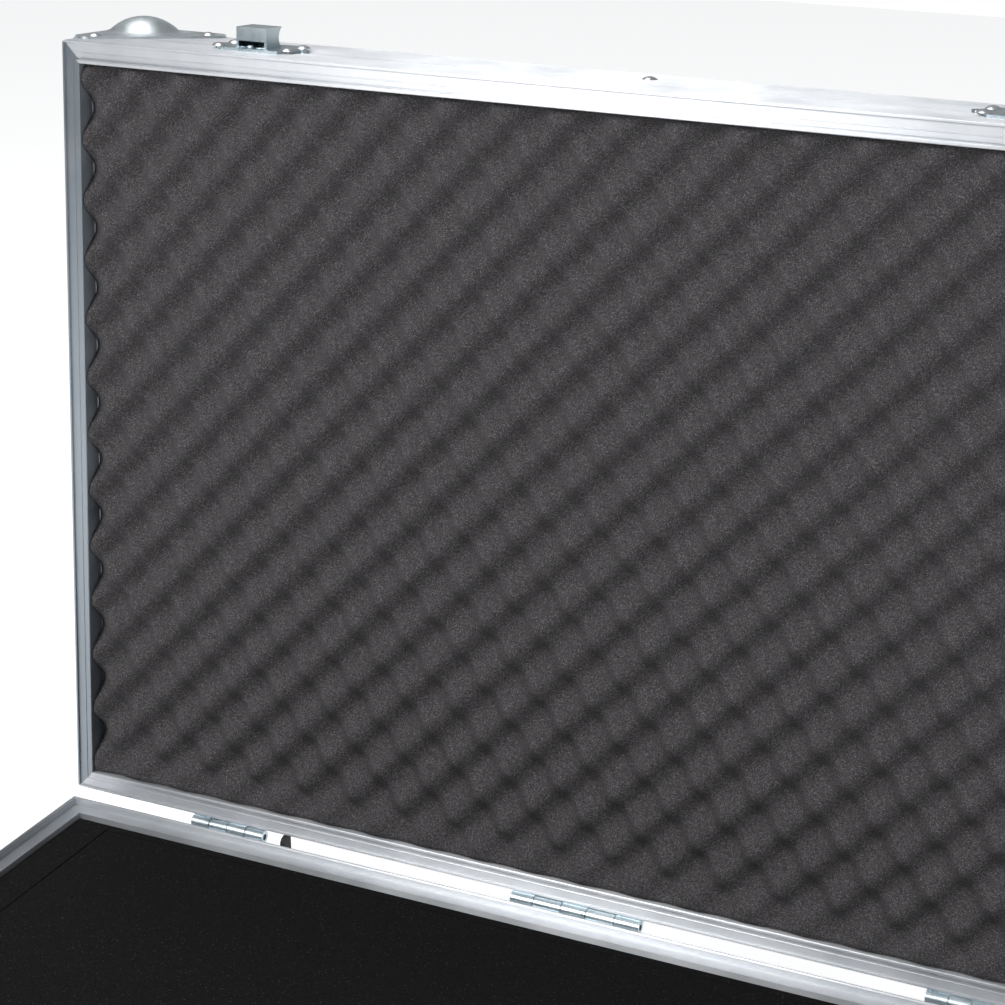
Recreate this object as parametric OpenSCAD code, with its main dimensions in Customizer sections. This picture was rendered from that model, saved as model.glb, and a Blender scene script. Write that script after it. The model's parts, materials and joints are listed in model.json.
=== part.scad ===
// Aluminium edged case for guitar pedals, standing open.
// Laminated panels are held in aluminium profiles, with ball corners, three rear hinges,
// two draw latches, a folding handle, rubber feet, black foam below and egg crate foam in the lid.
// Millimetres, +Z up, X along the length, the hinge side towards +Y.
// The lid is written as if it were shut, and lid_space() swings it open about the hinge pins.

/* [Case] */
// Outside length of the case
case_length = 663; // [560:1:800]
// Outside depth of the case from front to rear
case_depth = 450; // [380:1:560]
// Height of the base from its underside to the seam
base_height = 95; // [88:1:130]
// Height of the lid from the seam to its top
lid_height = 74; // [70:1:100]
// Thickness of the laminated panels
panel_t = 7; // [6:0.5:9]
// How far the lid stands open
open_angle = 94; // [90:1:97]

/* [Closing profiles] */
// Thickness of the outer wall of every profile
profile_t = 1.8; // [1.4:0.1:2.2]
// Thickness of the inner wall of a closing profile
inner_wall_t = 3.2; // [2.8:0.1:3.6]
// Height of the outer wall of a closing profile
rim_leg = 32; // [32:0.5:34]
// Height of the inner wall of a closing profile
inner_leg = 12; // [10:0.5:16]
// Thickness of the web between the two walls
web_t = 1.6; // [1.2:0.1:2]
// Width of the outer lip of the base profile
lip_w = 2.2; // [1.8:0.1:2.6]
// Depth of the groove in the base profile
groove_depth = 4.6; // [4.2:0.1:5.4]
// Width of the bead along the inside of the base profile
bead_w = 1.8; // [1.4:0.1:2.2]
// Depth of that bead's top below the seam
bead_drop = 3.4; // [3.2:0.1:3.8]
// How far the lid's tongue reaches below the seam
tongue_h = 1.3; // [0.6:0.1:2]
// Width of the lid's tongue
tongue_w = 2; // [1.6:0.1:2.2]
// Gap between the shut rims
seam_gap = 0.3; // [0.3:0.05:0.5]
// How far the bead at the end of the lid's inner wall stands inwards
leg_bead_out = 0.6; // [0.3:0.1:0.8]
// Depth of the lid's rim face behind its outer lip
step_depth = 1.2; // [0.6:0.1:1.6]
// Width of that outer lip
lid_lip_w = 1.3; // [1:0.1:1.8]

/* [Edge profiles] */
// Gap between a closing profile and its neighbour
strip_gap = 1; // [0.6:0.1:1.6]
// Rounding of the outer edges
edge_r = 2.5; // [1.8:0.1:3.5]
// Width of each wall of the upright corner angles
upright_leg = 30; // [24:1:36]

/* [Ball corners] */
// Length of a ball corner's plates along the edges
ball_leg = 64; // [58:0.5:66]
// Thickness of the plates
ball_plate_t = 1.3; // [1:0.1:1.6]
// Radius of the dome
ball_r = 28; // [26:0.5:28.5]
// Distance of the dome's centre inside each face
ball_inset = 18; // [17.5:0.5:19]
// Radius of the hollow curve between dome and plates
ball_fillet = 12; // [9:0.5:13]
// Radius of the plates' rounded tips
ball_tip_r = 8; // [6:0.5:9]
// Distance of a rivet from the tip of its plate
ball_rivet_end = 9; // [8:0.5:10]
// Distance of a rivet from the edge of the case
ball_rivet_side = 9; // [8:0.5:10]

/* [Rivets] */
// Radius of a rivet's head
rivet_head_r = 4.2; // [3.6:0.1:4.6]
// Height of a rivet's head
rivet_head_h = 1.6; // [1.2:0.1:2]
// Radius of a rivet's shank
rivet_r = 2; // [1.6:0.1:2.3]
// Gap between a rivet and its hole
rivet_gap = 0.05; // [0.03:0.01:0.1]

/* [Hinges] */
// Distance of the hinge pins behind the rear wall
pin_offset = 4.1; // [4.1:0.1:5]
// Radius of a hinge pin
pin_r = 1.8; // [1.6:0.1:2]
// Outer radius of the knuckles
knuckle_r = 3.9; // [3.6:0.1:3.9]
// Running gap between a pin and its knuckles
pin_gap = 0.08; // [0.05:0.01:0.1]
// Gap between neighbouring knuckles
knuckle_gap = 0.5; // [0.3:0.1:0.8]
// Thickness of the hinge leaves
leaf_t = 1.6; // [1.4:0.1:1.8]
// Height of the hinge leaves
leaf_h = 29; // [27:0.5:30]
// How far a pin ends inside its last knuckle
pin_recess = 3; // [1:0.5:4]
// Distance of an outer hinge's middle from the end of the case
outer_hinge_x = 107.7; // [100:0.5:130]
// Widths of an outer hinge's knuckles, starting with one of the lid's
outer_knuckles = [12.3, 12.2, 12.3, 12.2];
// Widths of the middle hinge's knuckles, starting with one of the lid's
middle_knuckles = [14, 17, 15, 17, 15];

/* [Lid stops] */
// Distance of a stop from the middle of its hinge
stop_x = 38.3; // [34:0.5:50]
// Thickness of a stop's rubber fin
stop_t = 3; // [2.4:0.1:4]
// How far the fin reaches below the seam
stop_h = 26; // [20:0.5:28]
// Width of the flange that holds a stop to the wall
stop_flange_w = 24; // [23:0.5:25]
// Thickness of that flange
stop_flange_t = 2.5; // [2:0.1:3]

/* [Latches] */
// Distance of the left latch from the left end of the case
latch_left_x = 109; // [100:0.5:140]
// Distance of the right latch from the right end of the case
latch_right_x = 128; // [110:0.5:150]
// Length of a keeper plate on the lid
keeper_w = 60; // [56:0.5:64]
// Height of a keeper plate
keeper_h = 31; // [29:0.5:33]
// Thickness of keeper plates and latch plates
latch_plate_t = 1.5; // [1.2:0.1:1.8]
// Width of the catch on a keeper
catch_w = 19; // [17:0.5:20]
// Distance of the catch's near face above the seam
catch_near = 22; // [20:0.5:23]
// Height of the catch over the wall
catch_out = 12.5; // [11.5:0.1:13.5]
// Radius of the hollow in the catch's far side
catch_hollow_r = 6.5; // [6.2:0.1:7]
// Distance of the hollow's waist above the seam
catch_waist = 35.2; // [34.6:0.1:36]
// Distance of the catch's far side above the seam
catch_far = 39; // [38:0.1:40]
// Radius of the latch's bail wire
bail_r = 1.5; // [1.3:0.1:1.6]
// Gap between the bail and the catch when latched
bail_gap = 0.3; // [0.2:0.05:0.4]
// Distance between the middles of the bail's two arms
bail_w = 27; // [26.5:0.5:29]
// Distance of the bail from the wall
bail_out = 6.8; // [6.6:0.1:7]
// Depth of the bail's pivot below the seam
bail_pivot_drop = 20; // [19.5:0.1:20.5]
// Distance of the lever's pivot from the wall
lever_out = 9.5; // [9.3:0.1:9.8]
// Depth of the lever's pivot below the seam
lever_drop = 14; // [13.8:0.1:14.2]
// Width of the lever
lever_w = 20; // [19.5:0.1:20.2]
// Length of the lever below its pivot
lever_l = 32; // [28:0.5:36]
// Thickness of the lever's sheet
lever_t = 1.4; // [1.2:0.1:1.5]
// Radius of the lever's pivot pin
lever_pin_r = 2; // [1.8:0.1:2.2]
// Width of a latch plate on the base
latch_plate_w = 44; // [42:0.5:48]
// How far a lever lifts when it opens
lever_travel = 150; // [120:1:150]

/* [Handle] */
// Distance of the handle's pivots from the wall
handle_out = 13; // [12.5:0.1:14]
// Depth of the handle's pivots below the seam
handle_pivot_drop = 17; // [16:0.5:18]
// Distance from the pivots to the middle of the grip
handle_drop = 46; // [40:0.5:50]
// Distance of each arm from the middle of the handle
handle_half = 60; // [54:0.5:70]
// Radius of the handle's steel rod
rod_r = 3.5; // [3:0.1:4]
// Inner bend of the rod, measured to its middle
rod_bend = 12; // [10:0.5:14]
// Radius of the rubber grip
grip_r = 10.5; // [9.5:0.1:11.5]

/* [Feet and foam] */
// Height of the rubber feet
foot_h = 12; // [10.5:0.5:16]
// Radius of the feet where they meet the case
foot_r = 15; // [12:0.5:18]
// Distance of the feet from the ends and sides of the case
foot_inset = 78; // [74:1:100]
// Thickness of the foam along the left and right walls
side_foam_t = 23; // [15:0.5:35]
// Thickness of the foam along the front and rear walls
end_foam_t = 6.5; // [5:0.5:20]
// Thickness of the foam on the floor
floor_foam_t = 10; // [5:0.5:20]
// Depth of the base foam's top below the seam
foam_top_drop = 6.6; // [5:0.1:10]
// Clearance of every foam piece from what surrounds it
foam_gap = 0.3; // [0.2:0.05:0.5]
// Thickness of the egg crate foam at its peaks
crate_t = 30; // [25:0.5:35]
// Distance of the foam's peaks above the seam
crate_recess = 0; // [0:0.1:6]

/* [Hidden] */
$fn = 48;

// Sections of the profiles
slot_gap = 0.1;
rim_w = profile_t + panel_t + 2 * slot_gap + inner_wall_t;
leg_bead_r = 1.1;
lip_slope = 0.3;
edge_ease = 0.4;
notch_w = 0.7;
notch_depth = 0.6;
rib_x = 6;
rib_w = 0.9;
rib_h = 0.25;
edge_leg = lid_height - rim_leg - strip_gap;
cut_reach = edge_leg + edge_r;

// Places in the part's frame, the rear wall's to a tenth of a millimetre
half_l = case_length / 2;
back_reach = pin_offset - (pin_offset + case_depth - ball_inset) * cos(open_angle)
    + (lid_height - ball_inset) * sin(open_angle) + ball_r;
front_reach = handle_out + grip_r;
rear_y = round(5 * (case_depth + front_reach - back_reach)) / 10;
front_y = rear_y - case_depth;
mid_y = rear_y - case_depth / 2;
pin_y = rear_y + pin_offset;
under_z = foot_h;
seam_z = under_z + base_height;
top_z = seam_z + lid_height;

// Hinges, as the middle of each and the widths of its knuckles
hinge_xs = [-half_l + outer_hinge_x, 0, half_l - outer_hinge_x];
hinge_knuckles = [outer_knuckles, middle_knuckles, outer_knuckles];
function sum(v, n) = n <= 0 ? 0 : v[n - 1] + sum(v, n - 1);
function width(i) = sum(hinge_knuckles[i], len(hinge_knuckles[i]));
leaf_rivet_end = 9;
leaf_rivet_drop = 20;
stop_rivet_end = 4.7;
stop_rivet_below = 4;
stop_gap = 0.15;

// Latches
latch_xs = [-half_l + latch_left_x, half_l - latch_right_x];
keeper_mid = rim_leg + strip_gap / 2;
keeper_rivet_in = 8.5;
keeper_rivets = [for (sx = [-1, 1], sz = [-1, 1])
    [sx * (keeper_w / 2 - keeper_rivet_in), sz * keeper_rivet_in]];
latch_plate_top = 5;
latch_plate_h = 24;
latch_rivet_in = 5;
latch_rivet_drops = [8.5, 24];
latch_rivets = [for (sx = [-1, 1], drop = latch_rivet_drops)
    [sx * (latch_plate_w / 2 - latch_rivet_in), -drop]];
ear_t = 1.6;
ear_gap = 0.4;
ear_r = 3.3;
catch_hollow_z = catch_waist + catch_hollow_r;
catch_wall = 1.4;
keeper_tip = 11;
keeper_nose = 3;
keeper_slot_up = 0.6;
keeper_slot_h = 3;
keeper_tongue_r = 4;
keeper_tongue_sink = 0.6;
bail_l = catch_waist + bail_r + bail_gap + bail_pivot_drop;
bail_end_in = lever_w / 2 - lever_t - 0.6;
bail_bend = 4;
lever_r = 5;
lever_face_top = 3;
lever_boss_r = 3.2;
lever_lip_r = 1.8;
ear_face = lever_w / 2 - lever_t - ear_gap;

// Handle brackets
bracket_x = handle_half + rod_r + 0.5;
bracket_w = 22;
bracket_h = 29;
bracket_t = 2;
bracket_neck = 8;
barrel_r = 6.5;
barrel_l = 11;
boss_r = 5;
boss_w = 2.5;
grip_end = 3;
grip_round = 2;
bracket_rivets = [[17, 9], [17, -9]];

// Gap between the lid's middle rivet and its edge profile's rim, less the rivet's own width
middle_rivet_gap = 8;

// Small shared helpers
big = 2000;
e = 0.01;

// Swings what is drawn in the shut position to the open one
module lid_space()
    translate([0, pin_y, seam_z]) rotate([-open_angle, 0, 0]) translate([0, -pin_y, -seam_z]) children();

// Outline of the case seen from above, with rounded corners
module case_outline() {
    for (sx = [-1, 1], sy = [-1, 1])
        translate([sx * (half_l - edge_r), mid_y + sy * (case_depth / 2 - edge_r)]) circle(edge_r);
    translate([-half_l + edge_r, front_y]) square([case_length - 2 * edge_r, case_depth]);
    translate([-half_l, front_y + edge_r]) square([case_length, case_depth - 2 * edge_r]);
}

// One mitred bar of a rectangular frame. side is 0 front, 1 right, 2 rear, 3 left.
// The child is its section: x inwards from the outer face, y upwards from z = 0.
module mitred_bar(side) {
    long = side % 2 == 0;
    a = long ? half_l : case_depth / 2;
    b = long ? case_depth / 2 : half_l;
    intersection() {
        translate([0, mid_y, 0]) rotate([0, 0, 90 * side]) translate([-a, -b, 0])
            rotate([90, 0, 90]) linear_extrude(2 * a) children();
        linear_extrude(big) intersection() {
            case_outline();
            translate([0, mid_y]) rotate(90 * side)
                polygon([[-a, -b], [a, -b], [a - cut_reach, cut_reach - b], [cut_reach - a, cut_reach - b]]);
        }
    }
}

// Section of the base's closing profile, with its outer lip, groove and inner bead
module base_rim_section() {
    r = lip_w / 2;
    notch_z = -groove_depth - notch_depth;
    translate([0, seam_z]) {
        polygon([
            [0, -rim_leg], [profile_t, -rim_leg], [profile_t, -groove_depth - web_t],
            [rim_w - inner_wall_t, -groove_depth - web_t], [rim_w - inner_wall_t, -inner_leg],
            [rim_w, -inner_leg], [rim_w, -bead_drop], [rim_w - bead_w, -bead_drop],
            [rim_w - bead_w, notch_z], [rim_w - bead_w - notch_w, notch_z],
            [rim_w - bead_w - notch_w, -groove_depth], [lip_w, -groove_depth], [lip_w, -r], [0, -r]
        ]);
        translate([r, -r]) circle(r);
    }
}

// Section of the lid's closing profile: an outer lip, the face behind it with a low rib and a notch,
// the tongue, and the inner wall with its bead
module lid_rim_section() {
    face = seam_gap;
    step = face + step_depth;
    notch = step + notch_depth;
    tongue_in = rim_w - tongue_w;
    translate([rim_w + leg_bead_out - leg_bead_r, seam_z + inner_leg]) circle(leg_bead_r);
    translate([0, seam_z]) polygon([
        [0, rim_leg], [0, face + edge_ease], [edge_ease, face], [lid_lip_w, face],
        [lid_lip_w + lip_slope, step], [rib_x, step], [rib_x + rib_h, step - rib_h],
        [rib_x + rib_w - rib_h, step - rib_h], [rib_x + rib_w, step], [tongue_in - notch_w, step],
        [tongue_in - notch_w, notch], [tongue_in, notch], [tongue_in, -tongue_h + edge_ease],
        [tongue_in + edge_ease, -tongue_h], [rim_w - edge_ease, -tongue_h],
        [rim_w, -tongue_h + edge_ease], [rim_w, inner_leg], [rim_w - inner_wall_t, inner_leg],
        [rim_w - inner_wall_t, step + web_t], [profile_t, step + web_t], [profile_t, rim_leg]
    ]);
}

// Section of an edge angle with its corner at the origin and both walls on the plus side
module angle_section(leg) {
    difference() {
        union() {
            translate([edge_r, edge_r]) circle(edge_r);
            translate([edge_r, 0]) square([leg - edge_r, profile_t]);
            translate([0, edge_r]) square([profile_t, leg - edge_r]);
            square([profile_t, profile_t] + [edge_r, edge_r]);
        }
        difference() {
            square(edge_r);
            translate([edge_r, edge_r]) circle(edge_r);
        }
        translate([profile_t, profile_t]) square(leg);
    }
}

// A rivet that stands on z = 0 with its head up, through a stack of the given thickness
module rivet(grip) {
    cap_r = (rivet_head_r * rivet_head_r + rivet_head_h * rivet_head_h) / (2 * rivet_head_h);
    intersection() {
        translate([0, 0, rivet_head_h - cap_r]) sphere(cap_r);
        cylinder(h = rivet_head_h + 1, r = rivet_head_r);
    }
    translate([0, 0, -grip]) cylinder(h = grip + rivet_head_h / 2, r = rivet_r);
}

// The hole for it
module rivet_hole(grip) {
    translate([0, 0, -grip - e]) cylinder(h = grip + 2 * e, r = rivet_r + rivet_gap);
}

// Turns a child that points along +Z so that it points out of a wall
module out_front() rotate([90, 0, 0]) children();
module out_rear() rotate([-90, 0, 0]) children();

// Places of the rivets. Each takes a child drawn with its head up and sets it on its outer face.
module at_ball_rivets(z_corner, up) {
    a = ball_leg - ball_rivet_end;
    b = ball_rivet_side;
    for (sx = [-1, 1], sy = [-1, 1])
        translate([sx * half_l, mid_y + sy * case_depth / 2, z_corner])
            mirror([sx > 0 ? 1 : 0, 0, 0]) mirror([0, sy > 0 ? 1 : 0, 0]) mirror([0, 0, up ? 1 : 0]) {
                for (p = [[a, b], [b, a]]) {
                    translate([p[0], p[1], -ball_plate_t]) rotate([180, 0, 0]) children();
                    translate([p[0], -ball_plate_t, p[1]]) rotate([90, 0, 0]) children();
                    translate([-ball_plate_t, p[0], p[1]]) rotate([0, -90, 0]) children();
                }
            }
}

module at_leaf_rivets(i, up) {
    half = width(i) / 2 - leaf_rivet_end;
    xs = i == 1 ? [-half, 0, half] : [-half, half];
    for (x = xs)
        translate([hinge_xs[i] + x, rear_y + leaf_t, seam_z + (up ? 1 : -1) * leaf_rivet_drop])
            out_rear() children();
}

module at_stop_rivets() {
    for (side = [0, 2], sx = [-1, 1])
        translate([hinge_xs[side] + stop_x + sx * (stop_flange_w / 2 - stop_rivet_end),
                   rear_y + stop_flange_t, seam_z - stop_h / 2 - stop_rivet_below])
            out_rear() children();
}

module at_latch_rivets() {
    for (x = latch_xs, p = latch_rivets)
        translate([x + p[0], front_y - latch_plate_t, seam_z + p[1]]) out_front() children();
}

module at_keeper_rivets() {
    for (x = latch_xs, p = keeper_rivets)
        translate([x + p[0], front_y - latch_plate_t, seam_z + keeper_mid + p[1]]) out_front() children();
}

module at_bracket_rivets() {
    for (sx = [-1, 1], p = bracket_rivets)
        translate([sx * (handle_half + p[0]), front_y - bracket_t, seam_z - handle_pivot_drop + p[1]])
            out_front() children();
}

module at_middle_rivet() {
    up = rim_leg + strip_gap + 2 * rivet_head_r + middle_rivet_gap;
    translate([0, front_y, seam_z + up]) out_front() children();
}

// All holes that the rivets need in the base's profiles and in the lid's
module base_rivet_holes() {
    at_ball_rivets(under_z, false) rivet_hole(ball_plate_t + profile_t);
    for (i = [0:2]) at_leaf_rivets(i, false) rivet_hole(leaf_t + profile_t);
    at_stop_rivets() rivet_hole(stop_flange_t + profile_t);
    at_latch_rivets() rivet_hole(latch_plate_t + profile_t);
    at_bracket_rivets() rivet_hole(bracket_t + profile_t);
}

module lid_rivet_holes() {
    at_ball_rivets(top_z, true) rivet_hole(ball_plate_t + profile_t);
    for (i = [0:2]) at_leaf_rivets(i, true) rivet_hole(leaf_t + profile_t);
    at_keeper_rivets() rivet_hole(latch_plate_t + profile_t);
    at_middle_rivet() rivet_hole(profile_t);
}

// Panels
module panel_colour() color([0.16, 0.16, 0.17]) children();

module level_panel(z) {
    panel_colour() translate([-half_l + profile_t, front_y + profile_t, z])
        cube([case_length - 2 * profile_t, case_depth - 2 * profile_t, panel_t]);
}

// An upright panel between two heights. side is 0 front, 1 right, 2 rear, 3 left.
module wall_panel(side, z0, z1) {
    inner = profile_t + panel_t;
    long = side % 2 == 0;
    size = long ? [case_length - 2 * profile_t, panel_t] : [panel_t, case_depth - 2 * inner];
    x = long ? -half_l + profile_t : (side == 1 ? half_l - inner : -half_l + profile_t);
    y = long ? (side == 0 ? front_y + profile_t : rear_y - inner) : front_y + inner;
    panel_colour() translate([x, y, z0]) cube([size[0], size[1], z1 - z0]);
}

base_wall_z0 = under_z + profile_t + panel_t;
base_wall_z1 = seam_z - groove_depth - web_t - slot_gap;
lid_wall_z0 = seam_z + seam_gap + step_depth + web_t + slot_gap;
lid_wall_z1 = top_z - profile_t - panel_t;

module base_floor_panel() level_panel(under_z + profile_t);
module base_front_panel() wall_panel(0, base_wall_z0, base_wall_z1);
module base_right_panel() wall_panel(1, base_wall_z0, base_wall_z1);
module base_rear_panel() wall_panel(2, base_wall_z0, base_wall_z1);
module base_left_panel() wall_panel(3, base_wall_z0, base_wall_z1);
module lid_top_panel() lid_space() level_panel(top_z - profile_t - panel_t);
module lid_front_panel() lid_space() wall_panel(0, lid_wall_z0, lid_wall_z1);
module lid_right_panel() lid_space() wall_panel(1, lid_wall_z0, lid_wall_z1);
module lid_rear_panel() lid_space() wall_panel(2, lid_wall_z0, lid_wall_z1);
module lid_left_panel() lid_space() wall_panel(3, lid_wall_z0, lid_wall_z1);

// Closing profiles and edge profiles
module aluminium() color([0.78, 0.79, 0.8]) children();

module base_rim(side) aluminium() difference() {
    mitred_bar(side) base_rim_section();
    base_rivet_holes();
}

module lid_rim(side) lid_space() aluminium() difference() {
    mitred_bar(side) lid_rim_section();
    lid_rivet_holes();
}

module base_edge(side) aluminium() difference() {
    mitred_bar(side) translate([0, under_z]) angle_section(edge_leg);
    base_rivet_holes();
}

module lid_edge(side) lid_space() aluminium() difference() {
    mitred_bar(side) translate([0, top_z]) mirror([0, 1]) angle_section(edge_leg);
    lid_rivet_holes();
}

module base_rim_front() base_rim(0);
module base_rim_right() base_rim(1);
module base_rim_rear() base_rim(2);
module base_rim_left() base_rim(3);
module lid_rim_front() lid_rim(0);
module lid_rim_right() lid_rim(1);
module lid_rim_rear() lid_rim(2);
module lid_rim_left() lid_rim(3);
module base_edge_front() base_edge(0);
module base_edge_right() base_edge(1);
module base_edge_rear() base_edge(2);
module base_edge_left() base_edge(3);
module lid_edge_front() lid_edge(0);
module lid_edge_right() lid_edge(1);
module lid_edge_rear() lid_edge(2);
module lid_edge_left() lid_edge(3);

// Upright angles at the base's four corners, between the closing and the edge profiles
module base_upright_angles() {
    z0 = under_z + edge_leg + strip_gap;
    z1 = seam_z - rim_leg - strip_gap;
    aluminium() difference() {
        for (sx = [-1, 1], sy = [-1, 1])
            translate([sx * half_l, mid_y + sy * case_depth / 2, z0])
                mirror([sx > 0 ? 1 : 0, 0, 0]) mirror([0, sy > 0 ? 1 : 0, 0])
                    linear_extrude(z1 - z0) angle_section(upright_leg);
        base_rivet_holes();
    }
}

// Ball corners, drawn around a corner at the origin with the case on the plus side of all three axes
module ball_plate() {
    t = ball_plate_t;
    k = ball_tip_r * sqrt(0.5);
    far = ball_leg - ball_tip_r;
    near = ball_tip_r - t;
    linear_extrude(t) {
        polygon([[-t, -t], [far, -t], [far + k, near + k], [near + k, far + k], [-t, far]]);
        translate([far, near]) circle(ball_tip_r);
        translate([near, far]) circle(ball_tip_r);
    }
}

// The hollow curve between the dome and the plate on the z face
module ball_fillet_ring() {
    face = ball_inset + ball_plate_t;
    tube_h = face + ball_fillet;
    tube_r = sqrt(pow(ball_r + ball_fillet, 2) - tube_h * tube_h);
    share = ball_r / (ball_r + ball_fillet);
    sink = ball_plate_t / 2;
    bite = 0.35;
    intersection() {
        translate([ball_inset, ball_inset, ball_inset]) mirror([0, 0, 1]) rotate_extrude() difference() {
            polygon([[tube_r * share - 3, face - sink], [tube_r, face - sink], [tube_r, face],
                     [tube_r * share, tube_h * share], [tube_r * share - 3, tube_h * share]]);
            translate([tube_r - bite, tube_h - bite]) circle(ball_fillet, $fn = 96);
        }
        translate([-ball_plate_t, -ball_plate_t, -ball_r]) cube(2 * ball_r);
    }
}

module ball_corner() {
    t = ball_plate_t;
    difference() {
        union() {
            translate([0, 0, -t]) ball_plate();
            rotate([90, 0, 90]) translate([0, 0, -t]) ball_plate();
            rotate([0, -90, -90]) translate([0, 0, -t]) ball_plate();
            translate([ball_inset, ball_inset, ball_inset]) sphere(ball_r);
            ball_fillet_ring();
            rotate([90, 0, 90]) ball_fillet_ring();
            rotate([0, -90, -90]) ball_fillet_ring();
        }
        cube(2 * ball_leg);
    }
}

module ball_corners(z_corner, up) color([0.72, 0.76, 0.79]) difference() {
    for (sx = [-1, 1], sy = [-1, 1])
        translate([sx * half_l, mid_y + sy * case_depth / 2, z_corner])
            mirror([sx > 0 ? 1 : 0, 0, 0]) mirror([0, sy > 0 ? 1 : 0, 0]) mirror([0, 0, up ? 1 : 0])
                ball_corner();
    at_ball_rivets(z_corner, up) rivet_hole(ball_plate_t + profile_t);
}

module base_ball_corners() ball_corners(under_z, false);
module lid_ball_corners() lid_space() ball_corners(top_z, true);

// Rivets of each half
module base_rivets() color([0.8, 0.82, 0.84]) {
    at_ball_rivets(under_z, false) rivet(ball_plate_t + profile_t);
    for (i = [0:2]) at_leaf_rivets(i, false) rivet(leaf_t + profile_t);
    at_stop_rivets() rivet(stop_flange_t + profile_t);
    at_latch_rivets() rivet(latch_plate_t + profile_t);
    at_bracket_rivets() rivet(bracket_t + profile_t);
}

module lid_rivets() lid_space() color([0.8, 0.82, 0.84]) {
    at_ball_rivets(top_z, true) rivet(ball_plate_t + profile_t);
    for (i = [0:2]) at_leaf_rivets(i, true) rivet(leaf_t + profile_t);
    at_keeper_rivets() rivet(latch_plate_t + profile_t);
    at_middle_rivet() rivet(profile_t);
}

// Feet, each with a screw in its recess
screw_head_r = 4;
screw_head_h = 2.4;
screw_r = 1.9;
screw_seat = 6;
screw_recess_r = screw_head_r + 1.5;
screw_slot = [4.8, 1, 1.2];
foot_chamfer = 2;
foot_taper = [3.5, 1.8];

module at_feet() {
    for (sx = [-1, 1], sy = [-1, 1])
        translate([sx * (half_l - foot_inset), mid_y + sy * (case_depth / 2 - foot_inset), 0]) children();
}

module rubber_feet() color([0.06, 0.06, 0.06]) at_feet() difference() {
    union() {
        cylinder(h = foot_chamfer, r1 = foot_r - foot_taper[0], r2 = foot_r - foot_taper[1]);
        translate([0, 0, foot_chamfer])
            cylinder(h = foot_h - foot_chamfer + profile_t, r1 = foot_r - foot_taper[1], r2 = foot_r);
    }
    translate([0, 0, -e]) cylinder(h = screw_seat + e, r = screw_recess_r);
    cylinder(h = foot_h + profile_t + e, r = screw_r + rivet_gap);
}

module foot_screws() color([0.7, 0.72, 0.74]) at_feet() difference() {
    union() {
        translate([0, 0, screw_seat - screw_head_h])
            cylinder(h = screw_head_h, r1 = screw_head_r - 1, r2 = screw_head_r);
        translate([0, 0, screw_seat]) cylinder(h = foot_h + profile_t - screw_seat, r = screw_r);
    }
    for (a = [0, 90]) rotate([0, 0, a])
        translate([-screw_slot[0] / 2, -screw_slot[1] / 2, screw_seat - screw_head_h - e]) cube(screw_slot);
}

// Hinges. Every second knuckle is drawn, from the first one named, longer at each end by grow.
module knuckle_spans(i, first, grow) {
    widths = hinge_knuckles[i];
    for (k = [first:2:len(widths) - 1])
        translate([hinge_xs[i] - width(i) / 2 + sum(widths, k) - grow, 0, 0])
            rotate([90, 0, 90]) linear_extrude(widths[k] + 2 * grow) children();
}

// One leaf of a hinge, drawn for the base half. The other leaf's knuckles are cut away.
module hinge_leaf(i, first) {
    drop = leaf_t * 4;
    difference() {
        union() {
            translate([hinge_xs[i] - width(i) / 2, rear_y, seam_z - leaf_h])
                cube([width(i), leaf_t, leaf_h - seam_gap]);
            knuckle_spans(i, first, -knuckle_gap / 2) {
                translate([pin_y, seam_z]) circle(knuckle_r);
                translate([rear_y, seam_z])
                    polygon([[0, -drop], [leaf_t, -drop], [pin_offset, -knuckle_r],
                             [pin_offset, 0], [0, 0]]);
            }
        }
        knuckle_spans(i, 1 - first, knuckle_gap / 2)
            translate([pin_y, seam_z]) circle(knuckle_r + knuckle_gap);
        translate([-big / 2, pin_y, seam_z]) rotate([0, 90, 0]) cylinder(h = big, r = pin_r + pin_gap);
    }
}

module zinc() color([0.66, 0.72, 0.75]) children();

module base_leaf(i) zinc() difference() {
    hinge_leaf(i, 1);
    at_leaf_rivets(i, false) rivet_hole(leaf_t + profile_t);
}

module lid_leaf(i) lid_space() zinc() difference() {
    translate([0, 0, 2 * seam_z]) mirror([0, 0, 1]) hinge_leaf(i, 0);
    at_leaf_rivets(i, true) rivet_hole(leaf_t + profile_t);
}

module hinge_leaf_base_left() base_leaf(0);
module hinge_leaf_base_middle() base_leaf(1);
module hinge_leaf_base_right() base_leaf(2);
module hinge_leaf_lid_left() lid_leaf(0);
module hinge_leaf_lid_middle() lid_leaf(1);
module hinge_leaf_lid_right() lid_leaf(2);

module hinge_pins() color([0.5, 0.52, 0.54])
    for (i = [0:2])
        translate([hinge_xs[i] - width(i) / 2 + pin_recess, pin_y, seam_z])
            rotate([0, 90, 0]) cylinder(h = width(i) - 2 * pin_recess, r = pin_r);

// Rubber stops that the open lid's rear wall rests on
module lid_stops() {
    fin_r = pin_offset - foam_gap;
    color([0.05, 0.05, 0.06]) difference() {
        for (side = [0, 2]) translate([hinge_xs[side] + stop_x, 0, 0]) {
            translate([-stop_t / 2, pin_y, seam_z]) rotate([0, 90, 0]) cylinder(h = stop_t, r = fin_r);
            translate([-stop_t / 2, rear_y, seam_z - stop_h]) cube([stop_t, pin_offset + fin_r, stop_h - 1]);
            translate([-stop_t / 2, pin_y, seam_z - 1]) cube([stop_t, fin_r, pin_offset + 1]);
            translate([-stop_flange_w / 2, rear_y, seam_z - stop_h])
                cube([stop_flange_w, stop_flange_t, stop_h - 3]);
        }
        lid_space() translate([-big / 2, rear_y - big, seam_z]) cube([big, big + stop_gap, big]);
        at_stop_rivets() rivet_hole(stop_flange_t + profile_t);
    }
}

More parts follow.
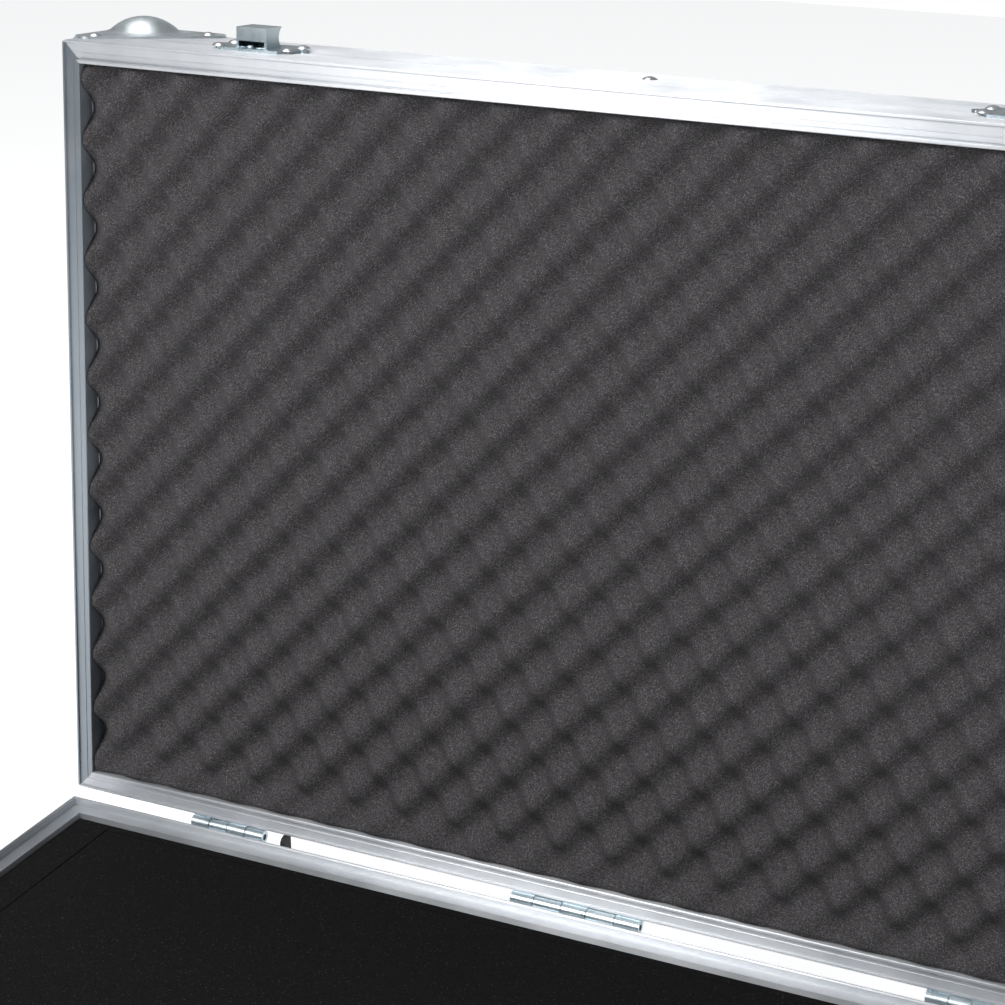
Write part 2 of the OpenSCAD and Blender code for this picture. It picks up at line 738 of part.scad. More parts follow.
// Draws a section across the front wall: x out of the wall, y upwards, centred on the latch's middle
module across(w) translate([w / 2, 0, 0]) rotate([90, 0, -90]) linear_extrude(w) children();

// Keepers on the lid: a plate with pointed ends, and a folded catch whose far side is hollow
module keeper_plate_outline() {
    half = keeper_w / 2;
    polygon([
        [-half + keeper_tip, -keeper_h / 2], [half - keeper_tip, -keeper_h / 2],
        [half - keeper_nose, -keeper_nose], [half - keeper_nose, keeper_nose],
        [half - keeper_tip, keeper_h / 2], [-half + keeper_tip, keeper_h / 2],
        [-half + keeper_nose, keeper_nose], [-half + keeper_nose, -keeper_nose]
    ]);
    for (s = [-1, 1]) translate([s * (half - keeper_nose), 0]) circle(keeper_nose);
}

module catch_outline(inset) difference() {
    translate([0, catch_near + inset]) square([catch_out - inset, catch_far - catch_near - inset]);
    translate([bail_out, catch_hollow_z]) circle(catch_hollow_r + inset);
}

module keeper() {
    difference() {
        union() {
            translate([0, 0, keeper_mid]) rotate([90, 0, 0])
                linear_extrude(latch_plate_t) keeper_plate_outline();
            across(catch_w) catch_outline(0);
            intersection() {
                translate([0, keeper_tongue_sink, catch_near - 1]) sphere(keeper_tongue_r);
                translate([-catch_w, -catch_w, 0]) cube([2 * catch_w, catch_w, 2 * catch_w]);
            }
        }
        across(catch_w - 2 * catch_wall) intersection() {
            catch_outline(catch_wall);
            translate([latch_plate_t, 0]) square([big, big]);
        }
        across(catch_w - 2 * catch_wall)
            translate([latch_plate_t + keeper_slot_up, catch_near - 1])
                square([keeper_slot_h, catch_wall + 2]);
    }
}

module keeper_plates() lid_space() zinc() difference() {
    for (x = latch_xs) translate([x, front_y, seam_z]) keeper();
    at_keeper_rivets() rivet_hole(latch_plate_t + profile_t);
}

// Latch plates on the base, with two ears each for the lever's pin
module latch_plate() {
    difference() {
        union() {
            translate([-latch_plate_w / 2, -latch_plate_t, -latch_plate_top - latch_plate_h])
                cube([latch_plate_w, latch_plate_t, latch_plate_h]);
            for (s = [-1, 1]) translate([s * (ear_face - ear_t / 2), 0, 0]) across(ear_t) {
                translate([lever_out, -lever_drop]) circle(ear_r);
                translate([0, -lever_drop - ear_r]) square([lever_out, 2 * ear_r]);
            }
        }
        across(lever_w) translate([lever_out, -lever_drop]) circle(lever_pin_r + rivet_gap);
    }
}

module latch_plates() zinc() difference() {
    for (x = latch_xs) translate([x, front_y, seam_z]) latch_plate();
    at_latch_rivets() rivet_hole(latch_plate_t + profile_t);
}

module latch_lever_pins() color([0.5, 0.52, 0.54])
    for (x = latch_xs) translate([x, front_y, seam_z])
        across(lever_w + 2) translate([lever_out, -lever_drop]) circle(lever_pin_r);

// A lever, folded from sheet: a face that ends in a rolled lip, and two cheeks
module lever_cheek() {
    bail_at = [bail_out - lever_out, lever_drop - bail_pivot_drop];
    polygon([
        [-lever_r, 2], [2 - lever_r, lever_r], [lever_r, lever_r], [lever_r, -lever_l],
        [lever_r - lever_t - 1, -lever_l], [bail_at[0] - lever_boss_r + 1, bail_at[1] * 2],
        [bail_at[0] - lever_boss_r, bail_at[1]], [bail_at[0] - lever_boss_r + 1, bail_at[1] / 2]
    ]);
}

module latch_lever(x) zinc() translate([x, front_y, seam_z]) difference() {
    union() {
        for (s = [-1, 1]) translate([s * (lever_w - lever_t) / 2, 0, 0])
            across(lever_t) translate([lever_out, -lever_drop]) lever_cheek();
        translate([-lever_w / 2, -lever_out - lever_r, -lever_drop - lever_l])
            cube([lever_w, lever_t, lever_l - lever_face_top]);
        translate([-lever_w / 2, -lever_out - lever_r, -lever_drop - lever_l])
            rotate([0, 90, 0]) cylinder(h = lever_w, r = lever_lip_r);
    }
    across(lever_w + 1) translate([lever_out, -lever_drop]) circle(lever_pin_r + pin_gap);
    across(lever_w + 1) translate([bail_out, -bail_pivot_drop]) circle(bail_r + pin_gap);
}

module latch_lever_left() latch_lever(latch_xs[0]);
module latch_lever_right() latch_lever(latch_xs[1]);

// A round rod bent to a U that hangs below its two ends, which stand at the given half width
module u_rod(half, drop, r, bend) {
    for (m = [0, 1]) mirror([m, 0, 0]) {
        translate([half, 0, -drop + bend]) cylinder(h = drop - bend, r = r);
        translate([half - bend, 0, -drop + bend]) rotate([90, 0, 0]) rotate([0, 0, -90])
            rotate_extrude(angle = 90) translate([bend, 0]) circle(r);
        translate([half, 0, 0]) sphere(r);
    }
    translate([-half + bend, 0, -drop]) rotate([0, 90, 0]) cylinder(h = 2 * (half - bend), r = r);
}

module latch_bail(x) color([0.7, 0.72, 0.74]) translate([x, front_y - bail_out, seam_z - bail_pivot_drop]) {
    u_rod(bail_w / 2, bail_l, bail_r, bail_bend);
    for (m = [0, 1]) mirror([m, 0, 0]) translate([bail_end_in, 0, 0])
        rotate([0, 90, 0]) cylinder(h = bail_w / 2 - bail_end_in, r = bail_r);
}

module latch_bail_left() latch_bail(latch_xs[0]);
module latch_bail_right() latch_bail(latch_xs[1]);

// Handle: two riveted brackets, a bent steel rod and a rubber grip
module handle_bracket() {
    difference() {
        union() {
            translate([bracket_x, -bracket_t, -bracket_h / 2]) cube([bracket_w, bracket_t, bracket_h]);
            translate([bracket_x, -handle_out, -bracket_neck / 2])
                cube([barrel_l, handle_out, bracket_neck]);
            translate([bracket_x, -handle_out, 0]) rotate([0, 90, 0]) cylinder(h = barrel_l, r = barrel_r);
        }
        translate([0, -handle_out, 0]) rotate([0, 90, 0]) cylinder(h = case_length, r = rod_r + pin_gap);
    }
}

module handle_brackets() zinc() difference() {
    translate([0, front_y, seam_z - handle_pivot_drop])
        for (m = [0, 1]) mirror([m, 0, 0]) handle_bracket();
    at_bracket_rivets() rivet_hole(bracket_t + profile_t);
}

module handle_space() translate([0, front_y - handle_out, seam_z - handle_pivot_drop]) children();

module handle_bow() zinc() handle_space() {
    u_rod(handle_half, handle_drop, rod_r, rod_bend);
    for (m = [0, 1]) mirror([m, 0, 0]) {
        translate([handle_half, 0, 0]) rotate([0, 90, 0])
            cylinder(h = bracket_x + barrel_l + pin_gap + boss_w - handle_half, r = rod_r);
        translate([bracket_x + barrel_l + knuckle_gap, 0, 0]) rotate([0, 90, 0])
            cylinder(h = boss_w, r = boss_r);
    }
}

module handle_grip() color([0.06, 0.06, 0.06]) handle_space() {
    half = handle_half - rod_bend - grip_end;
    translate([0, 0, -handle_drop]) rotate([0, 90, 0]) difference() {
        union() {
            translate([0, 0, -half]) cylinder(h = 2 * half, r = grip_r - grip_round);
            translate([0, 0, -half + grip_round]) cylinder(h = 2 * (half - grip_round), r = grip_r);
            for (s = [-1, 1]) translate([0, 0, s * (half - grip_round)])
                rotate_extrude() translate([grip_r - grip_round, 0]) circle(grip_round);
        }
        cylinder(h = 4 * half, r = rod_r + rivet_gap, center = true);
    }
}

// Foam in the base: a floor sheet, four strips that stand on it and an insert between them
foam_in = rim_w + foam_gap;
foam_x = half_l - foam_in;
foam_y0 = front_y + foam_in;
foam_y1 = rear_y - foam_in;
foam_z0 = under_z + profile_t + panel_t;
foam_z1 = foam_z0 + floor_foam_t;
foam_z2 = seam_z - foam_top_drop;
well_x = foam_x - side_foam_t;

module foam_block(x0, y0, z0, x1, y1, z1) color([0.1, 0.1, 0.1])
    translate([x0, y0, z0]) cube([x1 - x0, y1 - y0, z1 - z0]);

module foam_floor() foam_block(-foam_x, foam_y0, foam_z0, foam_x, foam_y1, foam_z1);
module foam_left() foam_block(-foam_x, foam_y0, foam_z1, -well_x, foam_y1, foam_z2);
module foam_right() foam_block(well_x, foam_y0, foam_z1, foam_x, foam_y1, foam_z2);
module foam_front() foam_block(-well_x, foam_y0, foam_z1, well_x, foam_y0 + end_foam_t, foam_z2);
module foam_rear() foam_block(-well_x, foam_y1 - end_foam_t, foam_z1, well_x, foam_y1, foam_z2);
module foam_insert() foam_block(-well_x + foam_gap, foam_y0 + end_foam_t + foam_gap, foam_z1,
    well_x - foam_gap, foam_y1 - end_foam_t - foam_gap, foam_z2);

// Egg crate foam in the lid as a block up to its peaks, with flat foam behind it
crate_peak_z = seam_z + crate_recess;
crate_back_z = crate_peak_z + crate_t;

module lid_foam_backing() lid_space()
    foam_block(leg_bead_out - foam_x, foam_y0 + leg_bead_out, crate_back_z,
               foam_x - leg_bead_out, foam_y1 - leg_bead_out, top_z - profile_t - panel_t);

module lid_egg_crate_foam() lid_space()
    foam_block(leg_bead_out - foam_x, foam_y0 + leg_bead_out, crate_peak_z,
               foam_x - leg_bead_out, foam_y1 - leg_bead_out, crate_back_z);

// Parts
base_floor_panel();
base_front_panel();
base_rear_panel();
base_left_panel();
base_right_panel();
base_rim_front();
base_rim_rear();
base_rim_left();
base_rim_right();
base_edge_front();
base_edge_rear();
base_edge_left();
base_edge_right();
base_upright_angles();
base_ball_corners();
base_rivets();
rubber_feet();
foot_screws();
hinge_leaf_base_left();
hinge_leaf_base_middle();
hinge_leaf_base_right();
hinge_pins();
lid_stops();
latch_plates();
latch_lever_pins();
handle_brackets();
foam_floor();
foam_left();
foam_right();
foam_front();
foam_rear();
foam_insert();
handle_bow();
handle_grip();
latch_lever_left();
latch_lever_right();
latch_bail_left();
latch_bail_right();
lid_top_panel();
lid_front_panel();
lid_rear_panel();
lid_left_panel();
lid_right_panel();
lid_rim_front();
lid_rim_rear();
lid_rim_left();
lid_rim_right();
lid_edge_front();
lid_edge_rear();
lid_edge_left();
lid_edge_right();
lid_ball_corners();
lid_rivets();
hinge_leaf_lid_left();
hinge_leaf_lid_middle();
hinge_leaf_lid_right();
keeper_plates();
lid_foam_backing();
lid_egg_crate_foam();
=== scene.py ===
import json
import math

import bpy
from mathutils import Matrix, Vector


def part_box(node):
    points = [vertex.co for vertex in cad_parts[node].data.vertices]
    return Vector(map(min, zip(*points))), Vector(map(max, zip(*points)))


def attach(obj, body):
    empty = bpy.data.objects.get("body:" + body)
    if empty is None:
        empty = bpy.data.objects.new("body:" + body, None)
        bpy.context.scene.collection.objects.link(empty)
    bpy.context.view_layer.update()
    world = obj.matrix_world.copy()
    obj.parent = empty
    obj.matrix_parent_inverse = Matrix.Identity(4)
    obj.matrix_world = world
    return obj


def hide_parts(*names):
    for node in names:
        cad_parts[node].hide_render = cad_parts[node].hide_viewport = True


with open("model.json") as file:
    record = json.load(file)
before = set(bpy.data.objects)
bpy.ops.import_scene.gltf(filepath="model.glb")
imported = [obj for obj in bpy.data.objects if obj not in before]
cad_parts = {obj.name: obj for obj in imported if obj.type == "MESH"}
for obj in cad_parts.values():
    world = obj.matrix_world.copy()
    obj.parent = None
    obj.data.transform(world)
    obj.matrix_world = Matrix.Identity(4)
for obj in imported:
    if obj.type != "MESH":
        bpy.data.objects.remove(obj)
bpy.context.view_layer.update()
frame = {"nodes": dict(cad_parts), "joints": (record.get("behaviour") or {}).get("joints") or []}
nodes = frame["nodes"]

MM = 0.001

# Sizes that the case shares with its CAD source
OPEN_ANGLE = math.radians(94)

# Egg crate foam: the distance between its rows along both sides
CRATE_PITCH = (32.25 * MM, 34.15 * MM)

# Where a row of its peaks would stand, from the case's left end and from its rear wall
CRATE_START = (11.0 * MM, 19.6 * MM)

# Depth of its valleys, how far its peaks stand out, and the distance between the points of its mesh
CRATE_RELIEF = 12 * MM
CRATE_PROUD = 0.6 * MM
CRATE_STEP = 2.5 * MM

# The share of the relief that is left at the hinge side, and the distance over which it grows whole
PRESSED_SHARE = 0.3
PRESSED_REACH = 16 * MM

# Rounding of the foam blocks' edges
FOAM_ROUND = 0.8 * MM
FOAM_ROUND_STEPS = 3

# Softening of the edges of sheet, profiles and panels
EDGE_ROUND = 0.22 * MM
EDGE_ROUND_STEPS = 2
EDGE_FROM_ANGLE = math.radians(50)

# Aluminium: its dark and light colour, and a darker, cooler pair for the lid's side bars, which is painted
# shade on the same metal where it catches no highlight
PLAIN_TONE = ((0.62, 0.64, 0.67), (0.70, 0.715, 0.74))
LID_SIDE_PAINTED_SHADE_TONE = ((0.33, 0.37, 0.41), (0.40, 0.44, 0.48))

# How much of it mirrors, its roughness, and how far its drawn lines stretch highlights
METAL_SHARE = 0.9
METAL_ROUGH = (0.38, 0.46)
LINE_STRETCH = 0.9

# A quarter of a full turn, as the shader counts turns
QUARTER_TURN = 0.25

# Middle parts of a noise, each of which is spread over a whole range
MIDDLE = (0.3, 0.7)
NARROW_MIDDLE = (0.35, 0.65)
UPPER_MIDDLE = (0.35, 0.7)

# The hinge line, and the rotation from the shut lid to the open one
lid_joint = next(j for j in frame["joints"] if j["name"] == "lid_hinge")
pin = Vector(lid_joint["pos_m"])
TO_OPEN = Matrix.Translation(pin) @ Matrix.Rotation(-OPEN_ANGLE, 4, "X") @ Matrix.Translation(-pin)
TO_SHUT = TO_OPEN.inverted()

# The case's left end, rear wall and seam
rim_low, rim_high = (Vector(v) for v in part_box("base_rim_rear"))
case_left, case_rear, seam = rim_low.x, rim_high.y, rim_high.z


# Node materials

EVEN = (1, 1, 1)


class Shader:
    """A new material with its Principled shader and a few short ways to add nodes."""

    def __init__(self, name):
        self.mat = bpy.data.materials.new(name)
        self.mat.use_nodes = True
        self.tree = self.mat.node_tree
        self.bsdf = self.tree.nodes["Principled BSDF"]

    def set(self, **values):
        for key, value in values.items():
            self.bsdf.inputs[key.replace("_", " ")].default_value = value
        return self

    def node(self, kind, **values):
        made = self.tree.nodes.new(kind)
        for key, value in values.items():
            setattr(made, key, value)
        return made

    def link(self, a, b):
        self.tree.links.new(a, b)

    def coords(self, scale=EVEN, on_lid=False):
        """Object coordinates, turned back to the shut lid where asked, and then scaled."""
        source = self.node("ShaderNodeTexCoord").outputs["Object"]
        if on_lid:
            turn = self.node("ShaderNodeMapping")
            turn.inputs["Rotation"].default_value = (OPEN_ANGLE, 0, 0)
            self.link(source, turn.inputs["Vector"])
            source = turn.outputs["Vector"]
        stretch = self.node("ShaderNodeMapping")
        stretch.inputs["Scale"].default_value = scale
        self.link(source, stretch.inputs["Vector"])
        return stretch.outputs["Vector"]

    def noise(self, vector, scale, detail=2.0, rough=0.5):
        made = self.node("ShaderNodeTexNoise")
        made.inputs["Scale"].default_value = scale
        made.inputs["Detail"].default_value = detail
        made.inputs["Roughness"].default_value = rough
        self.link(vector, made.inputs["Vector"])
        return made.outputs["Fac"]

    def spread(self, value, low, high, to_low, to_high):
        """Maps a value from one range to another."""
        made = self.node("ShaderNodeMapRange")
        for key, number in (("From Min", low), ("From Max", high), ("To Min", to_low), ("To Max", to_high)):
            made.inputs[key].default_value = number
        self.link(value, made.inputs["Value"])
        return made.outputs["Result"]

    def mix(self, factor, dark, light):
        """A colour between two, by a factor."""
        made = self.node("ShaderNodeMix", data_type="RGBA")
        for socket, colour in ((made.inputs[6], dark), (made.inputs[7], light)):
            if isinstance(colour, tuple):
                socket.default_value = (*colour, 1)
            else:
                self.link(colour, socket)
        self.link(factor, made.inputs[0])
        return made.outputs[2]

    def bump(self, height, distance, strength=1.0):
        made = self.node("ShaderNodeBump")
        made.inputs["Distance"].default_value = distance
        made.inputs["Strength"].default_value = strength
        self.link(height, made.inputs["Height"])
        self.link(made.outputs["Normal"], self.bsdf.inputs["Normal"])

    def seen(self):
        """1 for rays from the camera and for those mirrored or let through, else 0."""
        path = self.node("ShaderNodeLightPath")
        first = self.node("ShaderNodeMath", operation="MAXIMUM")
        both = self.node("ShaderNodeMath", operation="MAXIMUM")
        self.link(path.outputs["Is Camera Ray"], first.inputs[0])
        self.link(path.outputs["Is Transmission Ray"], first.inputs[1])
        self.link(first.outputs[0], both.inputs[0])
        self.link(path.outputs["Is Glossy Ray"], both.inputs[1])
        return both.outputs[0]

    def wire(self, socket, value):
        self.link(value, self.bsdf.inputs[socket])

    def draw_lines(self, direction, on_lid, amount):
        """Stretches highlights across the fine lines that run along one direction."""
        tilt = OPEN_ANGLE if on_lid else 0
        ways = {"x": (1, 0, 0), "y": (0, math.cos(tilt), -math.sin(tilt)), "z": (0, 0, 1)}
        way = self.node("ShaderNodeCombineXYZ")
        for socket, number in zip(way.inputs, ways[direction]):
            socket.default_value = number
        turn = self.node("ShaderNodeVectorTransform", vector_type="VECTOR", convert_from="OBJECT",
                         convert_to="WORLD")
        self.link(way.outputs["Vector"], turn.inputs["Vector"])
        self.wire("Tangent", turn.outputs["Vector"])
        self.set(Anisotropic=amount, Anisotropic_Rotation=QUARTER_TURN)


def grain(direction):
    """Scales that draw noise out into fine lines along one direction."""
    along, across = 6.0, 900.0
    return tuple(along if axis == direction else across for axis in "xyz")


def aluminium(direction, on_lid):
    """Drawn aluminium, with fine lines along its length and soft clouds in tint and gloss."""
    cloud_scale, line_depth, line_strength = 28.0, 0.01 * MM, 0.35
    s = Shader("aluminium_%s_%s" % (direction, "lid" if on_lid else "base"))
    s.set(Metallic=METAL_SHARE)
    s.draw_lines(direction, on_lid, LINE_STRETCH)
    lines = s.noise(s.coords(grain(direction), on_lid), 1.0, detail=3.0)
    cloud = s.noise(s.coords(EVEN, on_lid), cloud_scale, detail=4.0, rough=0.6)
    # The lid's side bars take the darker pair: painted shade, not a different aluminium
    tone = LID_SIDE_PAINTED_SHADE_TONE if on_lid and direction == "y" else PLAIN_TONE
    s.wire("Base Color", s.mix(s.spread(cloud, *MIDDLE, 0.0, 1.0), *tone))
    s.wire("Roughness", s.spread(cloud, *MIDDLE, *METAL_ROUGH))
    s.bump(lines, line_depth, line_strength)
    return s.mat


def plated(name, dark, light, rough):
    """Zinc or nickel plating: bright, with soft clouds in tint and gloss."""
    cloud_scale, fine_scale, fine_depth, fine_strength = 60.0, 900.0, 0.02 * MM, 0.4
    rough_spread = 0.12
    s = Shader(name)
    s.set(Metallic=1.0)
    cloud = s.noise(s.coords(), cloud_scale, detail=3.0, rough=0.6)
    fine = s.noise(s.coords(), fine_scale)
    s.wire("Base Color", s.mix(s.spread(cloud, *NARROW_MIDDLE, 0.0, 1.0), dark, light))
    s.wire("Roughness", s.spread(cloud, *MIDDLE, rough, rough + rough_spread))
    s.bump(fine, fine_depth, fine_strength)
    return s.mat


def laminate():
    """Black laminate with a pebbled skin."""
    dark, light = (0.012, 0.012, 0.013), (0.028, 0.028, 0.03)
    pebble_scale, pebble_depth, pebble_strength = 700.0, 0.25 * MM, 0.6
    s = Shader("laminate")
    s.set(Roughness=0.42)
    pebble = s.noise(s.coords(), pebble_scale, detail=3.0, rough=0.55)
    s.wire("Base Color", s.mix(s.spread(pebble, *UPPER_MIDDLE, 0.0, 1.0), dark, light))
    s.bump(pebble, pebble_depth, pebble_strength)
    return s.mat


def rubber():
    """Black rubber with a fine skin."""
    dark, light = (0.012, 0.012, 0.012), (0.026, 0.026, 0.026)
    skin_scale, skin_depth, skin_strength = 500.0, 0.1 * MM, 0.5
    s = Shader("rubber")
    s.set(Roughness=0.62)
    skin = s.noise(s.coords(), skin_scale, detail=3.0)
    s.wire("Base Color", s.mix(skin, dark, light))
    s.bump(skin, skin_depth, skin_strength)
    return s.mat


def foam(name, dark, light, speck, speck_size, share, pore_depth, on_lid=False):
    """Open cell foam: a mottled ground, small pores and scattered cells that catch the light."""
    mottle_scale, mottle_rough, pore_strength = 1000.0, 0.7, 0.8
    pick_edge, speck_core, speck_rim = 0.02, 0.25, 0.4
    s = Shader(name)
    s.set(Roughness=0.95, Specular_IOR_Level=0.15)
    at = s.coords(EVEN, on_lid)
    mottle = s.noise(at, mottle_scale, rough=mottle_rough)
    cells = s.node("ShaderNodeTexVoronoi")
    cells.inputs["Scale"].default_value = 1.0 / speck_size
    s.link(at, cells.inputs["Vector"])
    pick = s.node("ShaderNodeSeparateColor")
    s.link(cells.outputs["Color"], pick.inputs["Color"])
    chosen = s.spread(pick.outputs[0], 1.0 - share, 1.0 - share + pick_edge, 0.0, 1.0)
    near = s.spread(cells.outputs["Distance"], speck_core, speck_rim, 1.0, 0.0)
    both = s.node("ShaderNodeMath", operation="MULTIPLY")
    s.link(chosen, both.inputs[0])
    s.link(near, both.inputs[1])
    ground = s.mix(s.spread(mottle, *NARROW_MIDDLE, 0.0, 1.0), dark, light)
    s.wire("Base Color", s.mix(both.outputs[0], ground, speck))
    s.bump(mottle, pore_depth, pore_strength)
    return s.mat


MATERIALS = {
    "laminate": laminate(),
    "rubber": rubber(),
    "zinc": plated("zinc", dark=(0.45, 0.54, 0.58), light=(0.62, 0.70, 0.74), rough=0.24),
    "ball": plated("ball_corner", dark=(0.55, 0.61, 0.64), light=(0.70, 0.75, 0.77), rough=0.32),
    "steel": plated("steel", dark=(0.62, 0.63, 0.65), light=(0.74, 0.75, 0.76), rough=0.24),
    "grey_foam": foam("grey_foam", dark=(0.047, 0.044, 0.046), light=(0.110, 0.104, 0.108),
                      speck=(0.29, 0.275, 0.285), speck_size=0.62 * MM, share=0.30,
                      pore_depth=0.35 * MM, on_lid=True),
    "black_foam": foam("black_foam", dark=(0.004, 0.004, 0.004), light=(0.012, 0.012, 0.0125),
                       speck=(0.10, 0.10, 0.10), speck_size=0.8 * MM, share=0.04,
                       pore_depth=0.4 * MM),
}
for axis in "xyz":
    for lid in (False, True):
        MATERIALS["aluminium_%s_%s" % (axis, lid)] = aluminium(axis, lid)


def finish_of(name):
    """The material of a CAD node, by its name."""
    if name.endswith("_panel"):
        return "laminate"
    if "ball_corners" in name:
        return "ball"
    if "_rim_" in name or "_edge_" in name:
        side = name.split("_")[-1]
        axis = "x" if side in ("front", "rear") else "y"
        return "aluminium_%s_%s" % (axis, name.startswith("lid_"))
    if name == "base_upright_angles":
        return "aluminium_z_False"
    if name in ("rubber_feet", "lid_stops", "handle_grip"):
        return "rubber"
    if "rivets" in name or "screws" in name or "pins" in name or "bail" in name:
        return "steel"
    return "zinc"


BASE_FOAM = ("foam_floor", "foam_left", "foam_right", "foam_front", "foam_rear", "foam_insert")
SOFT = BASE_FOAM + ("lid_foam_backing", "lid_egg_crate_foam")
SHARP = ("_panel", "_rim_", "_edge_", "upright_angles", "keeper_plates", "latch_plates", "latch_lever_l",
         "latch_lever_r", "handle_brackets", "hinge_leaf")

for name, obj in nodes.items():
    if name in SOFT:
        continue
    obj.data.materials.clear()
    obj.data.materials.append(MATERIALS[finish_of(name)])
    if any(part in name for part in SHARP):
        soften = obj.modifiers.new("edge_softening", "BEVEL")
        soften.width = EDGE_ROUND
        soften.segments = EDGE_ROUND_STEPS
        soften.limit_method = "ANGLE"
        soften.angle_limit = EDGE_FROM_ANGLE


# Soft pieces

def mesh_object(name, points, faces, material, smooth):
    """A new object from points and faces."""
    mesh = bpy.data.meshes.new(name)
    mesh.from_pydata(points, [], faces)
    mesh.update()
    mesh.materials.append(material)
    for face in mesh.polygons:
        face.use_smooth = smooth
    obj = bpy.data.objects.new(name, mesh)
    bpy.context.scene.collection.objects.link(obj)
    return obj


def block(name, low, high, material, to_pose=None):
    """A foam block with softly rounded edges."""
    points = [Vector((x, y, z)) for x in (low.x, high.x) for y in (low.y, high.y) for z in (low.z, high.z)]
    if to_pose:
        points = [to_pose @ p for p in points]
    faces = [(0, 1, 3, 2), (4, 6, 7, 5), (0, 4, 5, 1), (2, 3, 7, 6), (0, 2, 6, 4), (1, 5, 7, 3)]
    obj = mesh_object(name, points, faces, material, False)
    soften = obj.modifiers.new("rounding", "BEVEL")
    soften.width = FOAM_ROUND
    soften.segments = FOAM_ROUND_STEPS
    return obj


def shut_box(name):
    """Lowest and highest corners of a lid piece in the shut position, from its own mesh."""
    points = [TO_SHUT @ v.co for v in nodes[name].data.vertices]
    low = Vector([min(p[i] for p in points) for i in range(3)])
    high = Vector([max(p[i] for p in points) for i in range(3)])
    return low, high


for name in BASE_FOAM:
    low, high = (Vector(v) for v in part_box(name))
    pad = block("soft_" + name, low, high, MATERIALS["black_foam"])
    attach(pad, "base")
    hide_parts(name)

low, high = shut_box("lid_foam_backing")
backing = block("soft_lid_foam_backing", low, high, MATERIALS["black_foam"], TO_OPEN)
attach(backing, "lid")
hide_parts("lid_foam_backing")


def line_places(low, high, step):
    """Places from low to high, about one step apart."""
    count = round((high - low) / step)
    return [low + (high - low) * i / count for i in range(count + 1)]


def egg_crate(low, high):
    """The egg crate foam: rows of peaks with valleys between, closed by flat sides and back.

    At the hinge side it is pressed up against its profile, so its valleys are less deep there."""
    xs = line_places(low.x, high.x, CRATE_STEP)
    ys = line_places(low.y, high.y, CRATE_STEP)
    front, back = [], []
    for x in xs:
        along = math.cos((x - case_left - CRATE_START[0]) * 2 * math.pi / CRATE_PITCH[0])
        for y in ys:
            across = math.cos((case_rear - y - CRATE_START[1]) * 2 * math.pi / CRATE_PITCH[1])
            share = min(1, PRESSED_SHARE + (1 - PRESSED_SHARE) * (high.y - y) / PRESSED_REACH)
            depth = share * CRATE_RELIEF * 0.5 * (1 - along * across) - CRATE_PROUD
            front.append(TO_OPEN @ Vector((x, y, low.z + depth)))
            back.append(TO_OPEN @ Vector((x, y, high.z)))
    rows, columns = len(ys), len(xs)
    base = len(front)
    faces = []
    for i in range(columns - 1):
        for j in range(rows - 1):
            a = i * rows + j
            b = a + rows
            faces.append((a, a + 1, b + 1, b))
            faces.append((base + a, base + b, base + b + 1, base + a + 1))
    ring = [i * rows for i in range(columns)]
    ring += [(columns - 1) * rows + j for j in range(1, rows)]
    ring += [i * rows + rows - 1 for i in range(columns - 2, -1, -1)]
    ring += [j for j in range(rows - 2, 0, -1)]
    for a, b in zip(ring, ring[1:] + ring[:1]):
        faces.append((a, b, base + b, base + a))
    return mesh_object("egg_crate_foam", front + back, faces, MATERIALS["grey_foam"], True)


crate = egg_crate(*shut_box("lid_egg_crate_foam"))
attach(crate, "lid")
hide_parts("lid_egg_crate_foam")


# Floor, light and world

FLOOR_HALF = 4.0
FLOOR_COLOUR = (0.86, 0.86, 0.86, 1)
FLOOR_GLOW = 0.6
WHITE = (1, 1, 1, 1)
ROOM_COLOUR = (0.86, 0.88, 0.90, 1)
ROOM_STRENGTH = 0.36
PAPER_STRENGTH = 1.0
LIT_POINT = (0, 0, 0.3)

floor_shader = Shader("floor").set(Roughness=0.9, Base_Color=FLOOR_COLOUR, Emission_Color=WHITE)
floor_shader.wire("Emission Strength", floor_shader.spread(floor_shader.seen(), 0.0, 1.0, 0.0, FLOOR_GLOW))
floor_corners = [(-FLOOR_HALF, -FLOOR_HALF, 0), (FLOOR_HALF, -FLOOR_HALF, 0),
                 (FLOOR_HALF, FLOOR_HALF, 0), (-FLOOR_HALF, FLOOR_HALF, 0)]
floor = mesh_object("floor", floor_corners, [(0, 1, 2, 3)], floor_shader.mat, False)


def softbox(name, place, size, watts):
    """A rectangular lamp that faces the case."""
    data = bpy.data.lights.new(name, "AREA")
    data.shape = "RECTANGLE"
    data.size, data.size_y = size
    data.energy = watts
    lamp = bpy.data.objects.new(name, data)
    lamp.location = place
    lamp.rotation_euler = (Vector(LIT_POINT) - Vector(place)).to_track_quat("-Z", "Y").to_euler()
    bpy.context.scene.collection.objects.link(lamp)


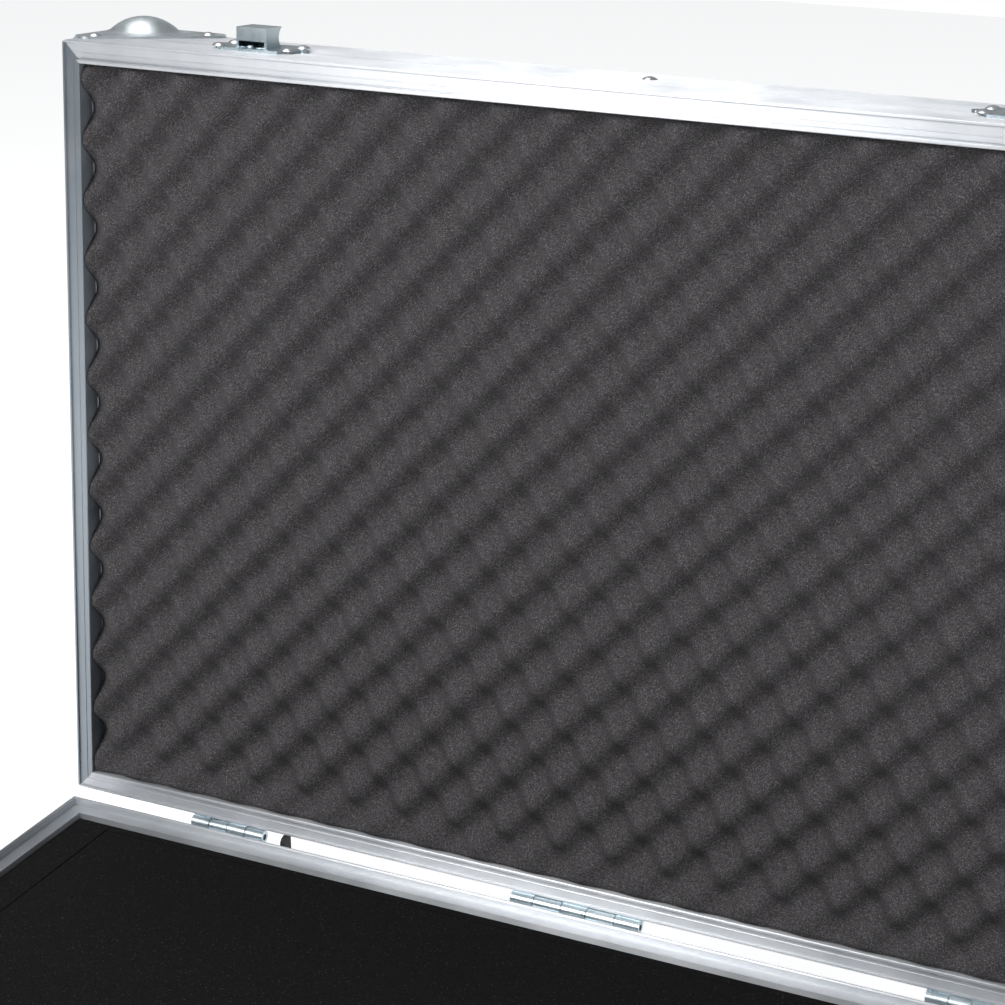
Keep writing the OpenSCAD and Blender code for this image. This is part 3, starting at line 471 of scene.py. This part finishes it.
softbox("key", place=(-0.9, -1.7, 1.9), size=(0.7, 1.3), watts=37)
softbox("fill", place=(2.0, -1.6, 1.2), size=(1.6, 1.6), watts=7)
softbox("top", place=(-0.7, 0.6, 2.4), size=(0.8, 1.2), watts=14)

world = bpy.data.worlds.new("studio")
bpy.context.scene.world = world
world.use_nodes = True
tree = world.node_tree
tree.nodes.clear()
room = tree.nodes.new("ShaderNodeBackground")
room.inputs["Color"].default_value = ROOM_COLOUR
room.inputs["Strength"].default_value = ROOM_STRENGTH
paper = tree.nodes.new("ShaderNodeBackground")
paper.inputs["Color"].default_value = WHITE
paper.inputs["Strength"].default_value = PAPER_STRENGTH
ray = tree.nodes.new("ShaderNodeLightPath")
pick = tree.nodes.new("ShaderNodeMixShader")
out = tree.nodes.new("ShaderNodeOutputWorld")
tree.links.new(ray.outputs["Is Camera Ray"], pick.inputs[0])
tree.links.new(room.outputs[0], pick.inputs[1])
tree.links.new(paper.outputs[0], pick.inputs[2])
tree.links.new(pick.outputs[0], out.inputs["Surface"])
bpy.context.scene.view_settings.view_transform = "Standard"


# Camera, where the photo's edges place it from the base's rear left rim corner on the seam

PHOTO_SIZE = 1005
FOCAL_PX = 2372.7
SENSOR = 36
FAR_CLIP = 50
YAW, PITCH, ROLL = (math.radians(a) for a in (25.10, 20.67, 0.162))
FROM_CORNER = Vector((782.3, -1057.2, 677.8)) * MM

corner = Vector((case_left, case_rear, seam))
right = Vector((math.cos(YAW), math.sin(YAW), 0))
ahead = Vector((-math.sin(YAW) * math.cos(PITCH), math.cos(YAW) * math.cos(PITCH), -math.sin(PITCH)))
up = right.cross(ahead)
rolled_right = math.cos(ROLL) * right + math.sin(ROLL) * up
rolled_up = -math.sin(ROLL) * right + math.cos(ROLL) * up

camera_data = bpy.data.cameras.new("camera")
camera_data.sensor_width = SENSOR
camera_data.lens = FOCAL_PX / PHOTO_SIZE * SENSOR
camera_data.clip_end = FAR_CLIP
camera = bpy.data.objects.new("camera", camera_data)
turn = Matrix((rolled_right, rolled_up, -ahead)).transposed()
camera.matrix_world = Matrix.Translation(corner + FROM_CORNER) @ turn.to_4x4()
bpy.context.scene.collection.objects.link(camera)
bpy.context.scene.camera = camera
